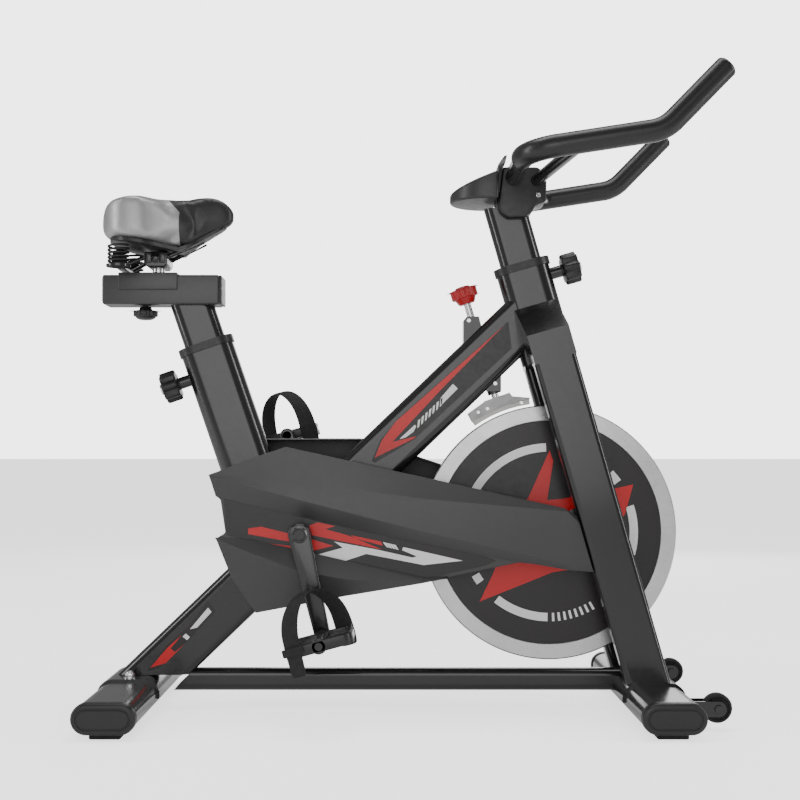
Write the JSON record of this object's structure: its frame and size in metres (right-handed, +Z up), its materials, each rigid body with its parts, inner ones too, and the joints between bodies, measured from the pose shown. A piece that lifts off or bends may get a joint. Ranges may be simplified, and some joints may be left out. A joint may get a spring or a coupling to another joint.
{
  "type": "indoor spin bike",
  "caption": "Belt-drive indoor cycling bike with flywheel, sprung saddle on a sliding post, height-set handlebar with console, friction brake, toe-strap pedals and floor wheels.",
  "frame": {"origin": "on the floor, midway along and across the bike", "axes": "+X the way the rider faces, +Y the rider's left, +Z up"},
  "size_m": [1.0085, 0.5, 1.0237],
  "materials": {
    "frame_paint": "satin-gloss black powder coat",
    "rail_paint": "satin dark grey paint",
    "black_plastic": "fine-grained black moulding",
    "cover_plastic": "satin dark grey moulding",
    "console_plastic": "satin grey moulding",
    "button_plastic": "light grey key",
    "pulley_plastic": "moulded",
    "rubber_black": "matt",
    "foam_grip": "soft foam sleeve",
    "bar_paint": "gloss black",
    "steel_bright": "bright plated",
    "bearing_steel": "machined",
    "flywheel_steel": "polished rim",
    "flywheel_face": "near-black printed face",
    "saddle_vinyl": "silver and black vinyl over foam",
    "brake_red": "red knob",
    "brake_steel": "grey",
    "brake_felt": "whitish wool felt"
  },
  "bodies": {
    "frame": {"rear_floor_bar": "frame_paint", "front_floor_bar": "frame_paint", "floor_bar_caps": "black_plastic", "foot_pads": "rubber_black", "floor_bar_cradles": "frame_paint", "floor_bar_bolts": "steel_bright", "main_beam": "frame_paint", "seat_tube": "frame_paint", "head_tube": "frame_paint", "tube_collars": "black_plastic", "fork_crown": "frame_paint", "fork_leg_right": "frame_paint", "fork_leg_left": "frame_paint", "bottom_rail": "frame_paint", "bottom_bracket": "bearing_steel", "dropouts": "frame_paint", "flywheel_axle": "steel_bright", "pin_barrels": "frame_paint", "brake_sleeve": "frame_paint", "cover_right": "cover_plastic", "cover_left": "cover_plastic", "cover_posts": "frame_paint", "drive_belt": "rubber_black", "wheel_brackets": "frame_paint"},
    "seat_post": {"seat_post": "frame_paint", "seat_rail": "rail_paint"},
    "seat_carriage": {"seat_carriage": "frame_paint", "saddle_clamp": "steel_bright", "saddle_rails": "bar_paint", "saddle_springs": "bar_paint", "saddle_base": "black_plastic", "saddle_cushion": "saddle_vinyl"},
    "carriage_knob": {"carriage_knob": "black_plastic"},
    "seat_pin": {"seat_pin": "steel_bright"},
    "seat_pin_knob": {"seat_pin_knob": "black_plastic"},
    "handlebar": {"bar_post": "frame_paint", "bar_clamp": "black_plastic", "handlebar": "bar_paint", "grip_right": "foam_grip", "grip_left": "foam_grip", "console": "console_plastic", "phone_rest": "black_plastic"},
    "console_button": {"console_button": "button_plastic"},
    "bar_pin": {"bar_pin": "steel_bright"},
    "bar_pin_knob": {"bar_pin_knob": "black_plastic"},
    "brake_rod": {"brake_rod": "steel_bright", "brake_shoe": "brake_steel", "brake_pad": "brake_felt"},
    "brake_knob": {"brake_knob": "brake_red"},
    "flywheel": {"flywheel": "flywheel_steel", "flywheel_plates": "flywheel_face", "flywheel_hub": "bearing_steel"},
    "crankset": {"crankset": "frame_paint", "drive_pulley": "pulley_plastic"},
    "pedal_right": {"pedal_right": "black_plastic", "toe_strap_right": "rubber_black"},
    "pedal_left": {"pedal_left": "black_plastic", "toe_strap_left": "rubber_black"},
    "floor_wheel_right": {"floor_wheel_right": "rubber_black"},
    "floor_wheel_left": {"floor_wheel_left": "rubber_black"}
  },
  "joints": [
    {"name": "seat_height", "type": "slide", "parent": "frame", "child": "seat_post", "axis": [-0.3239, 0, 0.9461], "range_m": [-0.03, 0.12]},
    {"name": "seat_fore_aft", "type": "slide", "parent": "seat_post", "child": "seat_carriage", "axis": [1, 0, 0], "range_m": [-0.03, 0.015]},
    {"name": "carriage_knob_turn", "type": "hinge", "parent": "seat_carriage", "child": "carriage_knob", "pos_m": [-0.43, 0, 0.66], "axis": [0, 0, 1], "range_deg": [0, 360]},
    {"name": "seat_pin_pull", "type": "slide", "parent": "frame", "child": "seat_pin", "axis": [-0.9461, 0, -0.3239], "range_m": [0, 0.012], "stiffness_N_per_m": 800},
    {"name": "seat_pin_knob_turn", "type": "hinge", "parent": "seat_pin", "child": "seat_pin_knob", "pos_m": [-0.38707, 0, 0.54034], "axis": [-0.9461, 0, -0.3239], "range_deg": [0, 360]},
    {"name": "handlebar_height", "type": "slide", "parent": "frame", "child": "handlebar", "axis": [-0.2756, 0, 0.9613], "range_m": [-0.02, 0.09]},
    {"name": "console_button_press", "type": "slide", "parent": "handlebar", "child": "console_button", "axis": [0.3683, 0, -0.9297], "range_m": [0, 0.0012], "stiffness_N_per_m": 400},
    {"name": "bar_pin_pull", "type": "slide", "parent": "frame", "child": "bar_pin", "axis": [0.9613, 0, 0.2756], "range_m": [0, 0.012], "stiffness_N_per_m": 800},
    {"name": "bar_pin_knob_turn", "type": "hinge", "parent": "bar_pin", "child": "bar_pin_knob", "pos_m": [0.28359, 0, 0.7394], "axis": [0.9613, 0, 0.2756], "range_deg": [0, 360]},
    {"name": "brake_push", "type": "slide", "parent": "frame", "child": "brake_rod", "axis": [0.2924, 0, -0.9563], "range_m": [0, 0.003], "stiffness_N_per_m": 4000},
    {"name": "brake_knob_turn", "type": "hinge", "parent": "brake_rod", "child": "brake_knob", "pos_m": [0.12, 0, 0.647], "axis": [0.2924, 0, -0.9563], "range_deg": [-360, 0]},
    {"name": "flywheel_spin", "type": "hinge", "parent": "frame", "child": "flywheel", "pos_m": [0.2465, 0, 0.2964], "axis": [0, 1, 0], "continuous": true},
    {"name": "crank_spin", "type": "hinge", "parent": "frame", "child": "crankset", "pos_m": [-0.164, 0, 0.299], "axis": [0, 1, 0], "continuous": true},
    {"name": "pedal_right_spin", "type": "hinge", "parent": "crankset", "child": "pedal_right", "pos_m": [-0.12688, -0.179, 0.13823], "axis": [0, 1, 0], "continuous": true},
    {"name": "pedal_left_spin", "type": "hinge", "parent": "crankset", "child": "pedal_left", "pos_m": [-0.20112, 0.179, 0.45977], "axis": [0, 1, 0], "continuous": true},
    {"name": "floor_wheel_right_spin", "type": "hinge", "parent": "frame", "child": "floor_wheel_right", "pos_m": [0.487, -0.165, 0.0345], "axis": [0, 1, 0], "continuous": true},
    {"name": "floor_wheel_left_spin", "type": "hinge", "parent": "frame", "child": "floor_wheel_left", "pos_m": [0.487, 0.165, 0.0345], "axis": [0, 1, 0], "continuous": true}
  ],
  "couplings": [
    {"joint": "crank_spin", "follows": "flywheel_spin", "ratio": 0.35}
  ]
}
